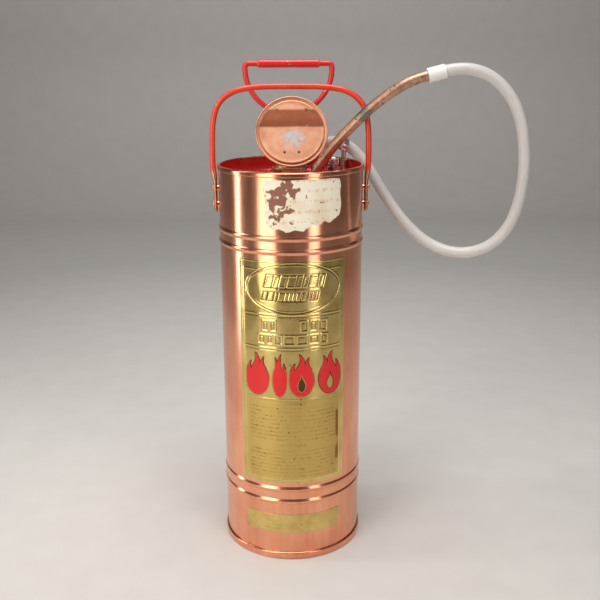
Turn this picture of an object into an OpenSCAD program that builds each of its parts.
// Hand pump tank fire extinguisher, 2.5 gallon, copper.
// Origin on the floor at the middle of the foot; +Z up; the label faces -Y.

/* [Tank] */
// Outside diameter of the copper shell
shell_d = 177.8; // [176:0.1:180]
// Height from the floor to the top of the rim
shell_h = 498; // [490:1:520]
// Sheet thickness of the shell and of both heads
sheet_t = 1.0; // [0.8:0.1:1.1]
// Height that a swaged bead stands proud
bead_h = 1.5; // [0.5:0.1:2]
// Width of a swaged bead
bead_w = 7; // [5:0.5:9]
// Outside diameter of the rolled foot ring
foot_d = 182; // [181:0.5:184]
// Height of the rolled foot ring
foot_h = 9.5; // [8:0.5:12]
// Outside diameter of the rolled rim
rim_d = 180.6; // [180:0.1:182]

/* [Labels] */
// Height of the large brass label
label_h = 287; // [280:1:290]
// Bottom edge of the large brass label above the floor
label_z = 107.5; // [107:0.5:110]
// Angle that the large brass label covers
label_angle = 89.4; // [80:0.1:92]
// Height of the brass base plate
plate_h = 26; // [20:1:30]
// Bottom edge of the base plate above the floor
plate_z = 37.5; // [34:0.5:42]
// Angle that the base plate covers
plate_angle = 83.4; // [76:0.1:86]

/* [Filler lid] */
// Outside diameter of the lid's rolled edge
lid_d = 90.4; // [89:0.1:90.6]
// Depth of the lid from its top to its rolled edge
lid_deep = 4; // [4:0.1:4.4]
// Angle from closed to open
lid_open = 113; // [100:1:113]

/* [Pump] */
// Outside diameter of the pump barrel
barrel_d = 34.9; // [34:0.1:35]
// Bore of the pump barrel
barrel_bore = 31.8; // [31.8:0.1:32]
// Diameter of the pump rod
rod_d = 12.7; // [12:0.1:13]
// Outside width of the pull handle
handle_w = 115.6; // [110:0.2:118]
// Diameter of the pull handle's rod
handle_rod_d = 7; // [6:0.1:7.4]
// Diameter of the sleeve on the pull handle
grip_d = 10.6; // [9:0.1:12]

/* [Hose and wand] */
// Outside diameter of the hose
hose_d = 14; // [13:0.5:14]
// Outside diameter of the copper wand
wand_d = 12.5; // [11:0.5:12.5]

/* [Hidden] */
$fn = 64;
fine = 0.01;

shell_r = shell_d / 2;
inner_r = shell_r - sheet_t;

// Swaged beads: two under the top, two over the foot
beads = [82, 99, 405.7, 421.6];
bead_steps = 8;
function bead_part(z, b) = abs(z - b) < bead_w / 2 ? bead_h * cos(180 * (z - b) / bead_w) : 0;
function bead(z) = max([for (b = beads) bead_part(z, b)]);

// The shell stands inside the foot ring and under the rim, a hem's thickness from each end
hem_t = 1.5;
shell_levels = concat(
    [hem_t],
    [for (b = beads) for (i = [0:bead_steps]) b - bead_w / 2 + bead_w * i / bead_steps],
    [shell_h - hem_t]
);

// Top head: a shallow crown, a cove, and a flange against the shell
crown_z = shell_h - 16;
crown_r = 540;
cove_r = 10;
head_r = inner_r - sheet_t;
cove_x = head_r - cove_r;
function crown(r) = crown_z - crown_r + sqrt(crown_r * crown_r - r * r);
cove_z = crown(cove_x) + cove_r;

// Bottom head
bottom_crown_z = 32;
bottom_edge_z = 18;
bottom_flange_z = foot_h + 1;
function dish(r) = bottom_crown_z - (bottom_crown_z - bottom_edge_z) * pow(r / head_r, 2);

// Filler neck and lid, drawn closed and then opened about the pin
lid_x = 1.5;
lid_r = lid_d / 2;
pin_y = 6.5;
pin_z = crown_z + 8;
pin_r = 1;
knuckle_r = 2;
lid_y = pin_y - 46.2;
lid_top = pin_z - knuckle_r;
lid_edge = lid_top - lid_deep;
lid_t = 0.8;
hem_r = 0.95;
neck_r = 42;
neck_t = 1;
neck_foot = crown_z - 16;
neck_top = lid_edge + 0.6;
liner_r = 40.3;
liner_t = 0.8;
liner_up = 1.2;
leaf_w = 24;
leaf_t = 1;
bracket_w = 48;
bracket_screw_x = 20;
bracket_screw_y = 3.5;
bracket_top = crown_z + 1.4;
leaf_rivet_x = 9;
leaf_rivet_s = 20;
pull_rivet_x = 18.4;
pull_rivet_s = 74.2;

// Pump, upright behind the filler
pump_x = -2;
pump_y = 50;
barrel_r = barrel_d / 2;
bore_r = barrel_bore / 2;
rod_r = rod_d / 2;
slide_gap = 0.07;
flange_r = 22;
seat_z = crown_z + 1;
gasket_t = 1;
flange_z = seat_z + gasket_t;
barrel_foot = 46;
barrel_top = flange_z + 8;
body_r = 18;
gland_z = flange_z + 37;
gland_top = gland_z + 11;
boss_z = gland_top + 0.3;
boss_r = 8.6;
grip_z = shell_h + 117.3;
arc_r = handle_w / 2 - handle_rod_d / 2;
arc_z = grip_z - 6.6;
plunger_z = 70;
discharge_z = 455;

// Hose outlet on the top head
outlet = [12.3, 22];
outlet_turn = 60;
elbow_bend = 8.6;
elbow_end = 2;
hose_gap = 0.15;
spud_r = 7.2;
outlet_dir = [0.944, 0.331];
outlet_yaw = atan2(outlet_dir[1], outlet_dir[0]);

// Air vent on the top head
vent = [54, 29];

// Centre line of the hose, from the outlet over the rim and round to the wand
hose_route = [
    [18, 24, 508], [28, 27.3, 514], [38, 30.8, 518], [50, 35, 520.3], [62, 39, 519], [73, 42.5, 514],
    [84, 45.5, 505], [96, 47, 491], [107, 46, 474], [118, 44, 456], [131, 41, 437], [145, 37.5, 419.5],
    [159, 33.5, 405], [173, 29, 394], [187, 24.5, 386.5], [201, 20, 382], [216, 15.5, 380.5],
    [231, 11, 382.5], [245, 6.5, 388], [257, 2, 397], [267, -2, 409.5], [275, -6, 425], [280, -9.5, 443],
    [283, -12.5, 463], [284, -15, 485], [283, -16.5, 507], [280, -17.5, 529], [275, -18, 549],
    [267, -18, 568], [256, -18, 584], [242, -18, 597], [226, -18, 605.5], [209, -18, 609.3],
    [192, -18, 608.8], [179, -18, 606.2], [167, -18, 603]
];

// The hose rest holds the middle of one straight run of the hose
rest = (hose_route[4] + hose_route[5]) / 2;
rest_dir = unit(hose_route[5] - hose_route[4]);

// Centre line of the wand, from its tip in the holder to its tail
wand_route = [
    [30, 8.8, 486.4], [39.2, 5.3, 499.8], [48.4, 1.5, 513], [58, -2, 524.8], [68.4, -5.5, 536.4],
    [79, -9, 547.6], [89.2, -12, 558], [98.5, -14, 566.4], [108, -15.5, 574], [118, -16.7, 581.4],
    [128.5, -17.5, 588], [137, -18, 593], [146, -18, 597], [156, -18, 600.2], [166, -18, 602.8]
];
wand_line = smooth(wand_route, 2);
tip_dir = unit(wand_line[1] - wand_line[0]);
clip_foot = [39.4, 5.7];
hose_tail = hose_route[len(hose_route) - 1];
tail_dir = unit(hose_route[len(hose_route) - 2] - hose_tail);

// Half of the carrying bail's centre line, from its top to its flattened end
bail_half = [
    [14, 589.6], [34, 589.2], [52, 587.4], [65, 584.6], [75, 580], [83, 573.6], [89, 565], [93, 552],
    [94.8, 538], [95.5, 520], [95.6, 498], [95, 488], [93.6, 479], [93.3, 468], [93.3, 452], [93.3, 438]
];
bail_route = concat(
    [for (i = [len(bail_half) - 1:-1:0]) [-bail_half[i][0], 0, bail_half[i][1]]],
    [for (p = bail_half) [p[0], 0, p[1]]]
);
strap_z = 477;
bail_rod_r = 3.65;
strap_thick = 2.4;
strap_wide = 5.6;
rivet_levels = [448, 468];

copper = "#c98563";
brass = "#c9b35c";
red = "#d8281c";
nickel = "#c9c9c4";

// ---- helpers ----

function unit(v) = v / norm(v);
function spline_at(p, i, t) =
    let (a = p[max(i - 1, 0)], b = p[i], c = p[i + 1], d = p[min(i + 2, len(p) - 1)])
    0.5 * (2 * b + (c - a) * t + (2 * a - 5 * b + 4 * c - d) * t * t + (3 * b - a - 3 * c + d) * t * t * t);
function smooth(p, steps) = concat(
    [for (i = [0:len(p) - 2]) for (k = [0:steps - 1]) spline_at(p, i, k / steps)],
    [p[len(p) - 1]]
);
function heading(p, i) = unit(p[min(i + 1, len(p) - 1)] - p[max(i - 1, 0)]);

// A rod along p; wide[i] is its half width across, deep[i] its half width in the plane of the bend
module swept(p, deep, wide, sides) {
    rings = [for (i = [0:len(p) - 1])
        let (t = heading(p, i), u = unit(cross(t, [0, 1, 0])), w = cross(u, t))
        for (k = [0:sides - 1]) let (a = 360 * k / sides) p[i] + u * deep[i] * cos(a) - w * wide[i] * sin(a)];
    last = len(p) - 1;
    polyhedron(
        points = rings,
        faces = concat(
            [[for (k = [sides - 1:-1:0]) k]],
            [for (i = [0:last - 1]) for (k = [0:sides - 1]) let (n = (k + 1) % sides)
                [i * sides + k, i * sides + n, (i + 1) * sides + n, (i + 1) * sides + k]],
            [[for (k = [0:sides - 1]) last * sides + k]]
        ),
        convexity = 6
    );
}

// Turns +Z to point along v and moves it to p
module along(p, v) translate(p) rotate([0, acos(v[2] / norm(v)), atan2(v[1], v[0])]) children();

module tube(r_out, r_in, h) difference() {
    cylinder(r = r_out, h = h);
    translate([0, 0, -1]) cylinder(r = r_in, h = h + 2);
}

module hexagon(flats, h) cylinder(r = flats / sqrt(3), h = h, $fn = 6);

module round_rivet(r, h) intersection() {
    translate([0, 0, h - (r * r + h * h) / (2 * h)]) sphere((r * r + h * h) / (2 * h));
    cylinder(r = r + 1, h = h + 1);
}

// Everything under the top head's crown and beyond its cove
crown_line = [for (i = [0:12]) let (r = cove_x * i / 12) [r, crown(r)]];
cove_line = [for (a = [-80:10:0]) [cove_x + cove_r * cos(a), cove_z + cove_r * sin(a)]];
module under_crown() rotate_extrude() polygon(concat(
    crown_line, cove_line, [[head_r, shell_h], [shell_r, shell_h], [shell_r, 400], [0, 400]]
));

module at_pump(z = 0) translate([pump_x, pump_y, z]) children();
module at_lid(z = 0) translate([lid_x, lid_y, z]) children();
module opened() translate([0, pin_y, pin_z]) rotate([-lid_open, 0, 0])
    translate([0, -pin_y, -pin_z]) children();

// A plate bent round the shell, centred on -Y
module wrapped(z, h, angle, t) rotate([0, 0, -90 - angle / 2])
    rotate_extrude(angle = angle) translate([shell_r, z]) square([t, h]);

// ---- tank ----

module shell() color(copper) difference() {
    rotate_extrude() polygon(concat(
        [for (z = shell_levels) [shell_r + bead(z), z]],
        [for (i = [len(shell_levels) - 1:-1:0]) [inner_r + bead(shell_levels[i]), shell_levels[i]]]
    ));
    for (side = [-1, 1]) for (z = rivet_levels)
        translate([side * (shell_r - 4), 0, z]) rotate([0, side * 90, 0]) cylinder(r = 2, h = 8);
}

module rim_band() color(copper) rotate_extrude() difference() {
    union() {
        translate([head_r - 0.7, shell_h - 5.2]) square([rim_d / 2 - head_r + 0.7, 3.9]);
        translate([shell_r, shell_h - 6]) square([rim_d / 2 - shell_r, 4]);
        hull() for (x = [head_r + 0.6, rim_d / 2 - 1.3]) translate([x, shell_h - 1.3]) circle(1.3, $fn = 24);
    }
    translate([head_r, shell_h - 10]) square([shell_r - head_r, 8.5]);
}

module foot_ring() color(copper) rotate_extrude() {
    fold = (foot_d / 2 - shell_r) / 2;
    translate([inner_r - hem_t, 0.6]) square([hem_t, foot_h - 0.6]);
    translate([inner_r - 0.9, 0]) square([shell_r + fold - inner_r + 0.9, hem_t]);
    translate([shell_r, fold]) square([2 * fold, foot_h - 2 * fold]);
    for (z = [fold, foot_h - fold]) translate([shell_r + fold, z]) circle(fold, $fn = 24);
}

module top_head() color(red) difference() {
    rotate_extrude() polygon(concat(
        crown_line,
        cove_line,
        [[head_r, shell_h - hem_t], [inner_r, shell_h - hem_t]],
        [for (a = [0:-10:-80]) [cove_x + (cove_r + sheet_t) * cos(a), cove_z + (cove_r + sheet_t) * sin(a)]],
        [for (i = [12:-1:0]) let (r = cove_x * i / 12) [r, crown(r) - sheet_t]]
    ));
    at_lid(400) cylinder(r = neck_r, h = 200);
    at_pump(400) cylinder(r = barrel_r + 0.15, h = 200);
    translate([outlet[0], outlet[1], 400]) cylinder(r = 6, h = 200);
    translate([vent[0], vent[1], 400]) cylinder(r = 4, h = 200);
}

module bottom_head() color(copper) rotate_extrude() polygon(concat(
    [for (i = [0:8]) let (r = head_r * i / 8) [r, dish(r)]],
    [[head_r, bottom_flange_z], [inner_r, bottom_flange_z], [inner_r, bottom_edge_z + sheet_t]],
    [for (i = [8:-1:0]) let (r = head_r * i / 8) [r, dish(r) + sheet_t]]
));

module brass_label() color(brass) rotate([0, 0, 0.8]) wrapped(label_z, label_h, label_angle, 0.5);

module base_plate() color(brass) wrapped(plate_z, plate_h, plate_angle, 0.5);

module paper_label() color("#efe3c8") intersection() {
    wrapped(420, 80, 100, 0.3);
    translate([0, -50, 0]) rotate([90, 0, 0]) linear_extrude(50) polygon([
        [-32, 466], [-30, 489], [-12, 490], [60, 490], [61, 470], [59.5, 446], [50, 441], [38, 440],
        [24, 437], [12, 431], [-4, 429.5], [-20, 433], [-31, 437], [-30, 452]
    ]);
}

// ---- carrying bail ----

// How far the bail's rod is flattened at height z, from 0 to 1
function flat(z) = min(max((strap_z + 10 - z) / 12, 0), 1);

module bail_handle() color(red) difference() {
    let (route = smooth(bail_route, 2)) swept(
        route,
        [for (p = route) bail_rod_r + (strap_thick - bail_rod_r) * flat(p[2])],
        [for (p = route) bail_rod_r + (strap_wide - bail_rod_r) * flat(p[2])],
        16
    );
    for (z = rivet_levels) translate([-120, 0, z]) rotate([0, 90, 0]) cylinder(r = 2.05, h = 240);
}

module bail_washers() color(copper) for (side = [-1, 1]) for (z = rivet_levels)
    translate([side * (shell_r + fine), 0, z]) rotate([0, side * 90, 0])
        tube(4.5, 2.05, bail_half[15][0] - strap_thick - shell_r - 2 * fine);

module bail_rivets() color(copper) for (side = [-1, 1]) for (z = rivet_levels) {
    translate([side * (inner_r - 2), 0, z]) rotate([0, side * 90, 0]) {
        cylinder(r = 2, h = bail_half[15][0] + strap_thick - inner_r + 2 + fine);
        translate([0, 0, bail_half[15][0] + strap_thick - inner_r + 2 + fine]) round_rivet(4.2, 2.2);
        cylinder(r = 3.6, h = 1.4);
    }
}

// ---- filler neck and lid ----

module filler_neck() color(copper) at_lid() rotate_extrude() {
    translate([neck_r - neck_t, neck_foot]) square([neck_t, neck_top - neck_foot - neck_t / 2]);
    translate([neck_r - neck_t / 2, neck_top - neck_t / 2]) circle(neck_t / 2, $fn = 24);
}

module hinge_bracket() color(copper) difference() {
    knuckle_w = 5.7;
    union() {
        for (side = [-1, 1]) translate([lid_x + side * (leaf_w - knuckle_w) / 2 - knuckle_w / 2, pin_y, 0]) {
            translate([0, 0, pin_z]) rotate([0, 90, 0]) cylinder(r = knuckle_r, h = knuckle_w);
            translate([0, 0, crown_z]) cube([knuckle_w, knuckle_r, pin_z - crown_z]);
        }
        translate([lid_x - leaf_w / 2, pin_y, crown_z - 2]) cube([leaf_w, 1.6, 7.4]);
        translate([lid_x - bracket_w / 2, pin_y, crown_z - 2])
            cube([bracket_w, 6.6, bracket_top - crown_z + 2]);
    }
    under_crown();
    translate([-60, pin_y, pin_z]) rotate([0, 90, 0]) cylinder(r = pin_r, h = 120);
    bracket_screw_places() translate([0, 0, -15]) cylinder(r = 1.6, h = 30);
}

module bracket_screw_places() for (side = [-1, 1])
    translate([lid_x + side * bracket_screw_x, pin_y + bracket_screw_y, bracket_top]) children();

module hinge_screws() color("#5a4636") difference() {
    bracket_screw_places() difference() {
        union() {
            round_rivet(2.8, 2.4);
            translate([0, 0, -3]) cylinder(r = 1.6, h = 3.5);
        }
        translate([-5, -0.5, 1.6]) cube([10, 1, 3]);
    }
    under_crown();
}

module hinge_pin() color(brass) translate([lid_x - leaf_w / 2 - 1.2, pin_y, pin_z]) rotate([0, 90, 0]) {
    cylinder(r = pin_r, h = leaf_w + 2.4);
    for (z = [0, leaf_w + 1.6]) translate([0, 0, z]) cylinder(r = 1.6, h = 0.8);
}

module lid() color(copper) opened() difference() {
    at_lid() rotate_extrude() {
        translate([0, lid_top - lid_t]) square([lid_r - 1, lid_t]);
        intersection() {
            translate([lid_r - 1, lid_top - 1]) circle(1, $fn = 24);
            translate([lid_r - 1, lid_top - 1]) square(1);
        }
        translate([lid_r - lid_t, lid_edge + hem_r]) square([lid_t, lid_deep - hem_r - 1]);
        translate([lid_r - hem_r, lid_edge + hem_r]) circle(hem_r, $fn = 24);
    }
    lid_rivet_places() translate([0, 0, -10]) cylinder(r = 1.5, h = 20);
}

// The four rivets through the closed lid, at its top face
module lid_rivet_places() {
    for (side = [-1, 1]) translate([lid_x + side * leaf_rivet_x, pin_y - leaf_rivet_s, lid_top]) children();
    for (side = [-1, 1]) translate([lid_x + side * pull_rivet_x, pin_y - pull_rivet_s, lid_top]) children();
}

module lid_liner() color(copper) opened() difference() {
    at_lid() rotate_extrude() {
        translate([0, lid_edge + liner_up]) square([liner_r, liner_t]);
        translate([liner_r - liner_t, lid_edge + liner_up]) square([liner_t, lid_deep - lid_t - liner_up]);
    }
    lid_rivet_places() translate([0, 0, -10]) cylinder(r = 1.5, h = 20);
}

module lid_hinge_leaf() color(copper) opened() difference() {
    union() {
        translate([lid_x - leaf_w / 2, pin_y - 25, lid_top]) cube([leaf_w, 22, leaf_t]);
        translate([lid_x - 6, pin_y - 4, lid_top]) cube([12, 4, leaf_t]);
        translate([lid_x - 6, pin_y, pin_z]) rotate([0, 90, 0]) cylinder(r = knuckle_r, h = 12);
    }
    translate([-60, pin_y, pin_z]) rotate([0, 90, 0]) cylinder(r = pin_r + 0.05, h = 120);
    lid_rivet_places() translate([0, 0, -10]) cylinder(r = 1.5, h = 20);
}

module lid_pull() color(copper) opened() difference() {
    translate([lid_x, pin_y - pull_rivet_s, lid_top]) {
        for (side = [-1, 1]) translate([side * pull_rivet_x - 4.5, -4, 0]) cube([9, 8, 1]);
        for (side = [-1, 1]) translate([side * (pull_rivet_x - 5) - 0.5, -4, 0]) cube([1, 8, 4.4]);
        translate([-pull_rivet_x + 4.5, -4, 3.4]) cube([2 * pull_rivet_x - 9, 8, 1]);
    }
    lid_rivet_places() translate([0, 0, -10]) cylinder(r = 1.5, h = 20);
}

module lid_rivets() color("#6b4a38") opened() lid_rivet_places() {
    translate([0, 0, -lid_deep + 1.2]) cylinder(r = 1.5, h = lid_deep - 0.2);
    translate([0, 0, 1]) round_rivet(2.6, 1.2);
    translate([0, 0, -lid_deep + 1.2]) mirror([0, 0, 1]) round_rivet(1.9, 0.6);
}

// ---- pump head ----

module pump_seat() color(copper) difference() {
    at_pump(470) tube(flange_r + 2, barrel_r + 0.15, seat_z - 470);
    under_crown();
}

module head_gasket() color("#3a3330") at_pump(seat_z) difference() {
    tube(flange_r, barrel_r + 0.15, gasket_t);
    screw_ring() translate([0, 0, -5]) cylinder(r = 1.4, h = 10);
}

module screw_ring() for (a = [30:60:330]) rotate([0, 0, a]) translate([flange_r - 2.2, 0, 0]) children();

module pump_head() color(brass) at_pump() difference() {
    union() {
        translate([0, 0, flange_z]) cylinder(r = flange_r, h = 3.5);
        translate([0, 0, flange_z]) cylinder(r = body_r, h = 20);
        translate([0, 0, flange_z + 20]) cylinder(r1 = body_r, r2 = 14, h = 4);
        translate([0, 0, flange_z]) cylinder(r = 13.5, h = gland_z - flange_z);
    }
    translate([0, 0, flange_z - 1]) cylinder(r = barrel_r, h = barrel_top - flange_z + 1);
    translate([0, 0, flange_z]) cylinder(r = bore_r, h = 16);
    translate([0, 0, flange_z]) cylinder(r = rod_r + slide_gap, h = 60);
    translate([0, 0, gland_z - 11]) cylinder(r = 11, h = 12);
    translate([0, 0, flange_z]) screw_ring() translate([0, 0, -5]) cylinder(r = 1.4, h = 20);
}

module head_screws() color(nickel) at_pump(flange_z + 3.5) screw_ring() {
    translate([0, 0, -4.5]) cylinder(r = 1.4, h = 4.6);
    rotate([0, 0, 30]) hexagon(3.4, 2);
}

module gland_packing() color("#7a6a4c") at_pump(gland_z - 11) for (z = [0:3.7:7.4])
    translate([0, 0, z]) tube(11, rod_r + 0.05, 3.4);

module gland_nut() color(brass) at_pump() difference() {
    union() {
        translate([0, 0, gland_z - 12]) hexagon(31, 14);
        translate([0, 0, gland_z + 2]) cylinder(r1 = 14.5, r2 = 10.5, h = gland_top - gland_z - 2);
    }
    translate([0, 0, gland_z - 13]) cylinder(r = 13.5, h = 13);
    cylinder(r = rod_r + slide_gap, h = 700);
}

module pump_barrel() color(brass) difference() {
    at_pump(barrel_foot) tube(barrel_r, bore_r, barrel_top - barrel_foot);
    discharge_port(5.1);
}

module discharge_port(r) along([pump_x, pump_y, discharge_z], [outlet[0] - pump_x, outlet[1] - pump_y, 0])
    cylinder(r = r, h = 30);

module discharge_tube() color(copper) {
    side = unit([outlet[0] - pump_x, outlet[1] - pump_y]);
    start = [pump_x, pump_y] + side * (barrel_r - 1);
    bend = 8;
    route = concat(
        [[start[0], start[1], discharge_z]],
        [for (a = [0:15:90]) [
            outlet[0] - side[0] * bend * (1 - sin(a)), outlet[1] - side[1] * bend * (1 - sin(a)),
            discharge_z + bend * (1 - cos(a))
        ]],
        [[outlet[0], outlet[1], crown_z - 12]]
    );
    swept(route, [for (p = route) 5], [for (p = route) 5], 16);
}

// ---- rod, pull handle and plunger ----

module pump_rod() color(brass) at_pump() difference() {
    translate([0, 0, plunger_z + 52]) cylinder(r = rod_r, h = boss_z + 13 - plunger_z - 52);
    translate([0, -20, boss_z + 6]) rotate([-90, 0, 0]) cylinder(r = 1.6, h = 40);
}

module handle_arc() translate([0, 0, arc_z]) rotate([90, 0, 0]) rotate([0, 0, 180])
    rotate_extrude(angle = 180) translate([arc_r, 0]) circle(handle_rod_d / 2);

module handle_boss() color(red) at_pump() difference() {
    union() {
        translate([0, 0, boss_z]) cylinder(r = boss_r, h = 14);
        translate([0, 0, boss_z + 14]) cylinder(r1 = boss_r, r2 = 6.5, h = arc_z - arc_r - boss_z - 14);
    }
    translate([0, 0, boss_z - 1]) cylinder(r = rod_r, h = 14);
    translate([0, -20, boss_z + 6]) rotate([-90, 0, 0]) cylinder(r = 1.6, h = 40);
    handle_arc();
}

module boss_pin() color(brass) at_pump(boss_z + 6) rotate([90, 0, 0])
    cylinder(r = 1.6, h = 2 * boss_r + 0.8, center = true);

module handle_frame() color(red) at_pump() {
    handle_arc();
    for (side = [-1, 1]) translate([side * arc_r, 0, arc_z]) {
        cylinder(r = handle_rod_d / 2, h = grip_z - arc_z);
        translate([0, 0, grip_z - arc_z]) sphere(handle_rod_d / 2);
    }
    translate([-arc_r, 0, grip_z]) rotate([0, 90, 0]) cylinder(r = handle_rod_d / 2, h = 2 * arc_r);
}

module grip_sleeve() color(red) at_pump(grip_z) rotate([0, 90, 0]) translate([0, 0, -39]) rotate_extrude() {
    translate([handle_rod_d / 2, 0.8]) square([grip_d / 2 - handle_rod_d / 2, 76.4]);
    translate([handle_rod_d / 2, 0]) square([grip_d / 2 - handle_rod_d / 2 - 0.8, 78]);
    for (z = [0.8, 77.2]) translate([grip_d / 2 - 0.8, z]) circle(0.8, $fn = 24);
}

module plunger_stem() color(brass) at_pump(plunger_z) difference() {
    cylinder(r = 8, h = 60);
    translate([0, 0, -1]) cylinder(r = 4, h = 20);
    translate([0, 0, 18]) cylinder(r = 6, h = 16);
    translate([0, 0, 18]) cylinder(r = 4, h = 28);
    for (a = [0, 90]) translate([0, 0, 44]) rotate([90, 0, a]) cylinder(r = 3, h = 30, center = true);
    translate([0, 0, 52]) cylinder(r = rod_r, h = 20);
}

module plunger_body() color(brass) at_pump(plunger_z + 16) tube(bore_r - 0.7, 8, 12);

module cup_leathers() color("#6d4526") at_pump() {
    translate([0, 0, plunger_z + 8]) difference() {
        cylinder(r = bore_r - 0.06, h = 8);
        translate([0, 0, -1]) cylinder(r = 8, h = 12);
        translate([0, 0, -1]) cylinder(r = bore_r - 2, h = 6.5);
    }
    translate([0, 0, plunger_z + 28]) difference() {
        cylinder(r = bore_r - 0.06, h = 8);
        translate([0, 0, -1]) cylinder(r = 8, h = 12);
        translate([0, 0, 2.5]) cylinder(r = bore_r - 2, h = 6.5);
    }
}

module plunger_nut() color(brass) at_pump(plunger_z + 7.4) difference() {
    hexagon(20, 6);
    translate([0, 0, -1]) cylinder(r = 8, h = 10);
}

module plunger_ball() color(nickel) at_pump(plunger_z + 18 + 3.02) sphere(5);

// ---- foot valve ----

module foot_valve() color(brass) at_pump() difference() {
    union() {
        translate([0, 0, barrel_foot - 6]) cylinder(r = barrel_r, h = 6);
        translate([0, 0, barrel_foot]) cylinder(r = bore_r, h = 18);
    }
    cylinder(r = 4.5, h = 200);
    translate([0, 0, barrel_foot + 4]) cylinder(r = 6.5, h = 30);
    translate([-20, 0, barrel_foot + 15.8]) rotate([0, 90, 0]) cylinder(r = 1, h = 40);
}

module foot_valve_stop() color(brass) at_pump(barrel_foot + 15.8) translate([-bore_r + fine, 0, 0])
    rotate([0, 90, 0]) cylinder(r = 1, h = 2 * bore_r - 2 * fine);

module foot_valve_ball() color(nickel) at_pump(barrel_foot + 4 + 3.18) sphere(5.5);

module foot_strainer() color(brass) at_pump(barrel_foot - 14) difference() {
    cylinder(r = 14, h = 8);
    translate([0, 0, 1]) cylinder(r = 13, h = 8);
    for (a = [0:30:330]) rotate([0, 90, a]) translate([-4.5, 0, 0]) cylinder(r = 1.8, h = 20);
    for (a = [0:60:300]) rotate([0, 0, a]) translate([7.5, 0, -1]) cylinder(r = 1.8, h = 5);
}

// ---- outlet, hose and wand ----

module outlet_spud() color(nickel) translate([outlet[0], outlet[1], 0]) {
    translate([0, 0, crown_z - 12]) cylinder(r = 6, h = 12);
    difference() {
        translate([0, 0, crown_z - 4]) cylinder(r = spud_r, h = 6);
        translate([-outlet[0], -outlet[1], 0]) under_crown();
    }
}

module outlet_nut() color(nickel) translate([outlet[0], outlet[1], crown_z + 2]) {
    rotate([0, 0, 12]) hexagon(16, 8.4);
    translate([0, 0, 8.4]) cylinder(r1 = 7.6, r2 = 6.4, h = 1.6);
}

module outlet_elbow() color(nickel) translate([outlet[0], outlet[1], 0]) rotate([0, 0, outlet_yaw]) {
    foot = hose_route[0][2] - elbow_bend * sin(outlet_turn) - elbow_end * cos(outlet_turn);
    bend = [for (a = [0:12:outlet_turn]) [elbow_bend * (1 - cos(a)), 0, foot + elbow_bend * sin(a)]];
    route = concat(
        [[0, 0, crown_z + 12]],
        bend,
        [bend[len(bend) - 1] + (elbow_end - hose_gap) * [sin(outlet_turn), 0, cos(outlet_turn)]]
    );
    radii = [for (i = [0:len(route) - 1]) i < len(route) - 1 ? 6 : 7.4];
    swept(route, radii, radii, 20);
}

module outlet_clamp() color(nickel) along(hose_route[0], hose_dir()) {
    translate([0, 0, 3]) tube(8, 7.1, 7);
    translate([-3, 7.3, 3.5]) cube([6, 4.4, 6]);
}
function hose_dir() = [outlet_dir[0] * sin(outlet_turn), outlet_dir[1] * sin(outlet_turn), cos(outlet_turn)];

module hose() color("#d9d6d2") {
    radii = [for (p = hose_route) hose_d / 2];
    swept(hose_route, radii, radii, 12);
}

module hose_cuff() color("#e6e3df") along(hose_tail - tail_dir * 4, tail_dir) difference() {
    cylinder(r = 8.6, h = 22);
    translate([0, 0, -1]) cylinder(r = wand_d / 2 + 0.15, h = 5);
    translate([0, 0, 3]) cylinder(r = hose_d / 2 + 0.15, h = 30);
}

module wand() color(copper) {
    radii = [for (p = wand_line) wand_d / 2];
    swept(wand_line, radii, radii, 20);
}

module wand_nozzle() color(brass) along(wand_line[0], -tip_dir) difference() {
    cylinder(r1 = wand_d / 2, r2 = 3.2, h = 2.6);
    translate([0, 0, -1]) cylinder(r = 1.6, h = 6);
}

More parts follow.
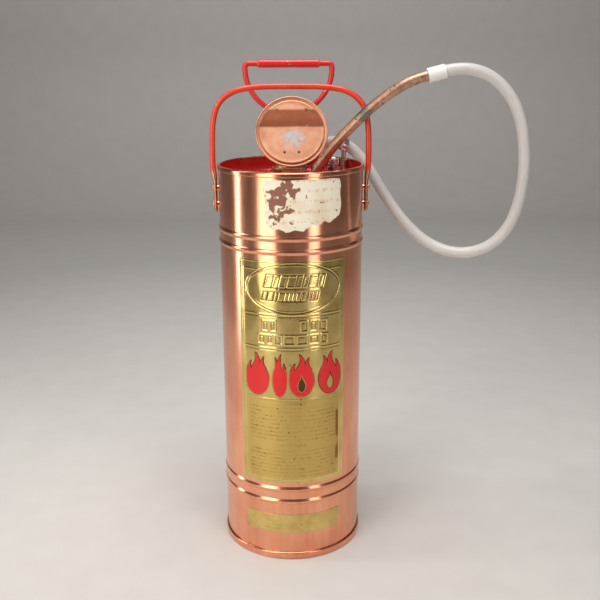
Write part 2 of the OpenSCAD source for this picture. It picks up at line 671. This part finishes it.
// A clip round the wand, on a post soldered to the top head
module wand_holder() color(copper) difference() {
    clip_dir = heading(wand_line, 1);
    union() {
        along(wand_line[1] - 3 * clip_dir, clip_dir) cylinder(r = wand_d / 2 + 1.2, h = 6);
        translate([clip_foot[0], clip_foot[1], crown_z - 4]) {
            cylinder(r = 2.2, h = 11.6);
            cylinder(r = 5, h = 4);
        }
    }
    along(wand_line[1] - 12 * clip_dir, clip_dir) cylinder(r = wand_d / 2 + 0.3, h = 24);
    under_crown();
}

// ---- vent and hose rest ----

module vent_body() color(nickel) translate([vent[0], vent[1], 0]) {
    translate([0, 0, crown_z - 12]) cylinder(r = 4, h = 14);
    difference() {
        translate([0, 0, crown_z - 5]) rotate([0, 0, 30]) hexagon(15, 13);
        translate([-vent[0], -vent[1], 0]) under_crown();
    }
}

module vent_cap() color(nickel) translate([vent[0], vent[1], crown_z + 8]) {
    cylinder(r = 4.6, h = 2);
    translate([0, 0, 2]) cylinder(r = 7, h = 9);
    translate([0, 0, 11]) cylinder(r1 = 7, r2 = 5.6, h = 1.4);
}

module hose_rest() color(nickel) difference() {
    union() {
        translate([rest[0], rest[1], crown_z - 7]) {
            cylinder(r = 4.2, h = 22);
            cylinder(r = 3, h = rest[2] - crown_z + 2);
            rotate([0, 0, 10]) hexagon(13, 9);
        }
        along(rest - 3 * rest_dir, rest_dir) cylinder(r = hose_d / 2 + 1.6, h = 6);
    }
    along(rest - 20 * rest_dir, rest_dir) cylinder(r = hose_d / 2 + 0.3, h = 40);
    under_crown();
}

shell();
rim_band();
foot_ring();
top_head();
bottom_head();
brass_label();
base_plate();
paper_label();
bail_handle();
bail_rivets();
bail_washers();
filler_neck();
hinge_bracket();
hinge_screws();
hinge_pin();
lid();
lid_liner();
lid_hinge_leaf();
lid_pull();
lid_rivets();
pump_seat();
head_gasket();
pump_head();
head_screws();
gland_packing();
gland_nut();
pump_barrel();
pump_rod();
handle_boss();
boss_pin();
handle_frame();
grip_sleeve();
plunger_stem();
plunger_body();
cup_leathers();
plunger_nut();
plunger_ball();
foot_valve();
foot_valve_stop();
foot_valve_ball();
foot_strainer();
discharge_tube();
outlet_spud();
outlet_nut();
outlet_elbow();
outlet_clamp();
hose();
hose_cuff();
wand();
wand_nozzle();
wand_holder();
vent_body();
vent_cap();
hose_rest();
